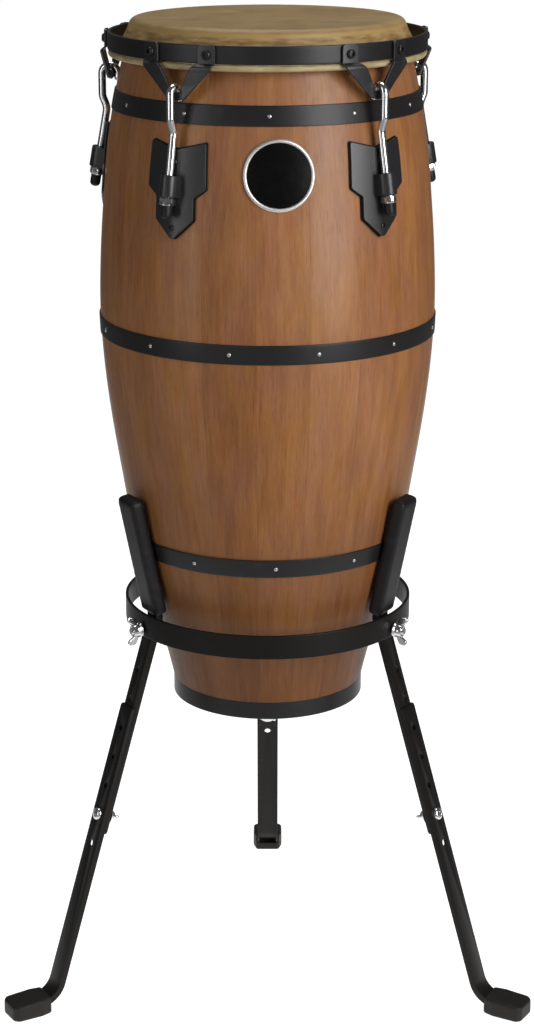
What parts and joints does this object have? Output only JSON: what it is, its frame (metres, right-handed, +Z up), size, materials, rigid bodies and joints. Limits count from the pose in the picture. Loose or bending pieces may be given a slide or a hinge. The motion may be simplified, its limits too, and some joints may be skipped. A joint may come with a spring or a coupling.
{
  "type": "conga drum on stand",
  "caption": "Single-headed barrel hand drum of stained wood with hook-tuned skin head, black bands, and a three-legged basket stand with extending legs.",
  "frame": {"origin": "on the floor under the middle of the object's bounding box; the drum's axis stands at x = 0, y = -0.0708 m", "axes": "+Z up along the drum's axis; -Y is the front, with the badge; +Y is the side of the back leg"},
  "size_m": [0.556, 0.4878, 1.0248],
  "materials": {
    "shell_wood": "satin lacquer over stained wood",
    "rawhide": "matt to satin natural skin",
    "black_powder_coat": "satin powder coat",
    "badge_black": "gloss, with a bright rim",
    "chrome": "polished",
    "black_rubber": "matt moulded",
    "gasket_rubber": "matt"
  },
  "bodies": {
    "stand": {"stand_ring": "black_powder_coat", "upper_leg_back": "black_powder_coat", "pad_back": "black_rubber", "pivot_bolt_back": "chrome", "upper_leg_left": "black_powder_coat", "pad_left": "black_rubber", "pivot_bolt_left": "chrome", "upper_leg_right": "black_powder_coat", "pad_right": "black_rubber", "pivot_bolt_right": "chrome"},
    "drum": {"shell": "shell_wood", "upper_band": "black_powder_coat", "middle_band": "black_powder_coat", "lower_band": "black_powder_coat", "base_ring": "black_powder_coat", "badge": "badge_black", "side_plate_front_left": "black_powder_coat", "gasket_front_left": "gasket_rubber", "side_plate_front_right": "black_powder_coat", "gasket_front_right": "gasket_rubber", "side_plate_right": "black_powder_coat", "gasket_right": "gasket_rubber", "side_plate_back": "black_powder_coat", "gasket_back": "gasket_rubber", "side_plate_left": "black_powder_coat", "gasket_left": "gasket_rubber"},
    "head": {"head_skin": "rawhide", "flesh_hoop": "black_powder_coat", "counter_hoop": "black_powder_coat", "hoop_bracket_front_left": "black_powder_coat", "hoop_bracket_front_right": "black_powder_coat", "hoop_bracket_right": "black_powder_coat", "hoop_bracket_back": "black_powder_coat", "hoop_bracket_left": "black_powder_coat"},
    "hook_front_left": {"tuning_hook_front_left": "chrome"},
    "hook_front_right": {"tuning_hook_front_right": "chrome"},
    "hook_right": {"tuning_hook_right": "chrome"},
    "hook_back": {"tuning_hook_back": "chrome"},
    "hook_left": {"tuning_hook_left": "chrome"},
    "nut_front_left": {"tuning_nut_front_left": "chrome"},
    "nut_front_right": {"tuning_nut_front_right": "chrome"},
    "nut_right": {"tuning_nut_right": "chrome"},
    "nut_back": {"tuning_nut_back": "chrome"},
    "nut_left": {"tuning_nut_left": "chrome"},
    "extension_back": {"lower_leg_back": "black_powder_coat", "foot_back": "black_rubber", "lock_bolt_back": "chrome"},
    "extension_left": {"lower_leg_left": "black_powder_coat", "foot_left": "black_rubber", "lock_bolt_left": "chrome"},
    "extension_right": {"lower_leg_right": "black_powder_coat", "foot_right": "black_rubber", "lock_bolt_right": "chrome"},
    "pivot_nut_back": {"pivot_wing_nut_back": "chrome"},
    "pivot_nut_left": {"pivot_wing_nut_left": "chrome"},
    "pivot_nut_right": {"pivot_wing_nut_right": "chrome"},
    "lock_nut_back": {"lock_wing_nut_back": "chrome"},
    "lock_nut_left": {"lock_wing_nut_left": "chrome"},
    "lock_nut_right": {"lock_wing_nut_right": "chrome"}
  },
  "joints": [
    {"name": "drum_lift", "type": "slide", "parent": "stand", "child": "drum", "axis": [0, 0, 1], "range_m": [0, 0.3]},
    {"name": "head_tune", "type": "slide", "parent": "drum", "child": "head", "axis": [0, 0, 1], "range_m": [0, 0.01]},
    {"name": "hook_pull_front_left", "type": "slide", "parent": "drum", "child": "hook_front_left", "axis": [0.0966, 0.1545, 0.9833], "range_m": [0, 0.0104]},
    {"name": "hook_pull_front_right", "type": "slide", "parent": "drum", "child": "hook_front_right", "axis": [-0.1171, 0.1396, 0.9833], "range_m": [0, 0.0104]},
    {"name": "hook_pull_right", "type": "slide", "parent": "drum", "child": "hook_right", "axis": [-0.169, -0.0683, 0.9833], "range_m": [0, 0.0104]},
    {"name": "hook_pull_back", "type": "slide", "parent": "drum", "child": "hook_back", "axis": [0.0127, -0.1818, 0.9833], "range_m": [0, 0.0104]},
    {"name": "hook_pull_left", "type": "slide", "parent": "drum", "child": "hook_left", "axis": [0.1768, -0.0441, 0.9833], "range_m": [0, 0.0104]},
    {"name": "nut_turn_front_left", "type": "hinge", "parent": "drum", "child": "nut_front_left", "pos_m": [-0.09578, -0.22404, 0.86788], "axis": [0.0966, 0.1545, 0.9833], "range_deg": [-2930, 0]},
    {"name": "nut_turn_front_right", "type": "hinge", "parent": "drum", "child": "nut_front_right", "pos_m": [0.11618, -0.20922, 0.86788], "axis": [-0.1171, 0.1396, 0.9833], "range_deg": [-2930, 0]},
    {"name": "nut_turn_right", "type": "hinge", "parent": "drum", "child": "nut_right", "pos_m": [0.16759, -0.00304, 0.86788], "axis": [-0.169, -0.0683, 0.9833], "range_deg": [-2930, 0]},
    {"name": "nut_turn_back", "type": "hinge", "parent": "drum", "child": "nut_back", "pos_m": [-0.01261, 0.10955, 0.86788], "axis": [0.0127, -0.1818, 0.9833], "range_deg": [-2930, 0]},
    {"name": "nut_turn_left", "type": "hinge", "parent": "drum", "child": "nut_left", "pos_m": [-0.17538, -0.02703, 0.86788], "axis": [0.1768, -0.0441, 0.9833], "range_deg": [-2930, 0]},
    {"name": "leg_slide_back", "type": "slide", "parent": "stand", "child": "extension_back", "axis": [0, -0.294, 0.9558], "range_m": [0, 0.064]},
    {"name": "leg_slide_left", "type": "slide", "parent": "stand", "child": "extension_left", "axis": [0.2546, 0.147, 0.9558], "range_m": [0, 0.064]},
    {"name": "leg_slide_right", "type": "slide", "parent": "stand", "child": "extension_right", "axis": [-0.2546, 0.147, 0.9558], "range_m": [0, 0.064]},
    {"name": "pivot_nut_turn_back", "type": "hinge", "parent": "stand", "child": "pivot_nut_back", "pos_m": [0, 0.08214, 0.404], "axis": [0, 1, 0], "continuous": true},
    {"name": "pivot_nut_turn_left", "type": "hinge", "parent": "stand", "child": "pivot_nut_left", "pos_m": [-0.13241, -0.1472, 0.404], "axis": [-0.866, -0.5, 0], "continuous": true},
    {"name": "pivot_nut_turn_right", "type": "hinge", "parent": "stand", "child": "pivot_nut_right", "pos_m": [0.13241, -0.1472, 0.404], "axis": [0.866, -0.5, 0], "continuous": true},
    {"name": "lock_nut_turn_back", "type": "hinge", "parent": "extension_back", "child": "lock_nut_back", "pos_m": [0, 0.12413, 0.20544], "axis": [0, -0.9558, -0.294], "continuous": true},
    {"name": "lock_nut_turn_left", "type": "hinge", "parent": "extension_left", "child": "lock_nut_left", "pos_m": [-0.16878, -0.1682, 0.20544], "axis": [0.8277, 0.4779, -0.294], "continuous": true},
    {"name": "lock_nut_turn_right", "type": "hinge", "parent": "extension_right", "child": "lock_nut_right", "pos_m": [0.16878, -0.1682, 0.20544], "axis": [-0.8277, 0.4779, -0.294], "continuous": true}
  ],
  "couplings": [
    {"joint": "hook_pull_front_left", "follows": "head_tune", "ratio": 1.017},
    {"joint": "hook_pull_front_right", "follows": "head_tune", "ratio": 1.017},
    {"joint": "hook_pull_right", "follows": "head_tune", "ratio": 1.017},
    {"joint": "hook_pull_back", "follows": "head_tune", "ratio": 1.017},
    {"joint": "hook_pull_left", "follows": "head_tune", "ratio": 1.017},
    {"joint": "nut_turn_front_left", "follows": "head_tune", "rad_per_m": -5112.1},
    {"joint": "nut_turn_front_right", "follows": "head_tune", "rad_per_m": -5112.1},
    {"joint": "nut_turn_right", "follows": "head_tune", "rad_per_m": -5112.1},
    {"joint": "nut_turn_back", "follows": "head_tune", "rad_per_m": -5112.1},
    {"joint": "nut_turn_left", "follows": "head_tune", "rad_per_m": -5112.1}
  ]
}
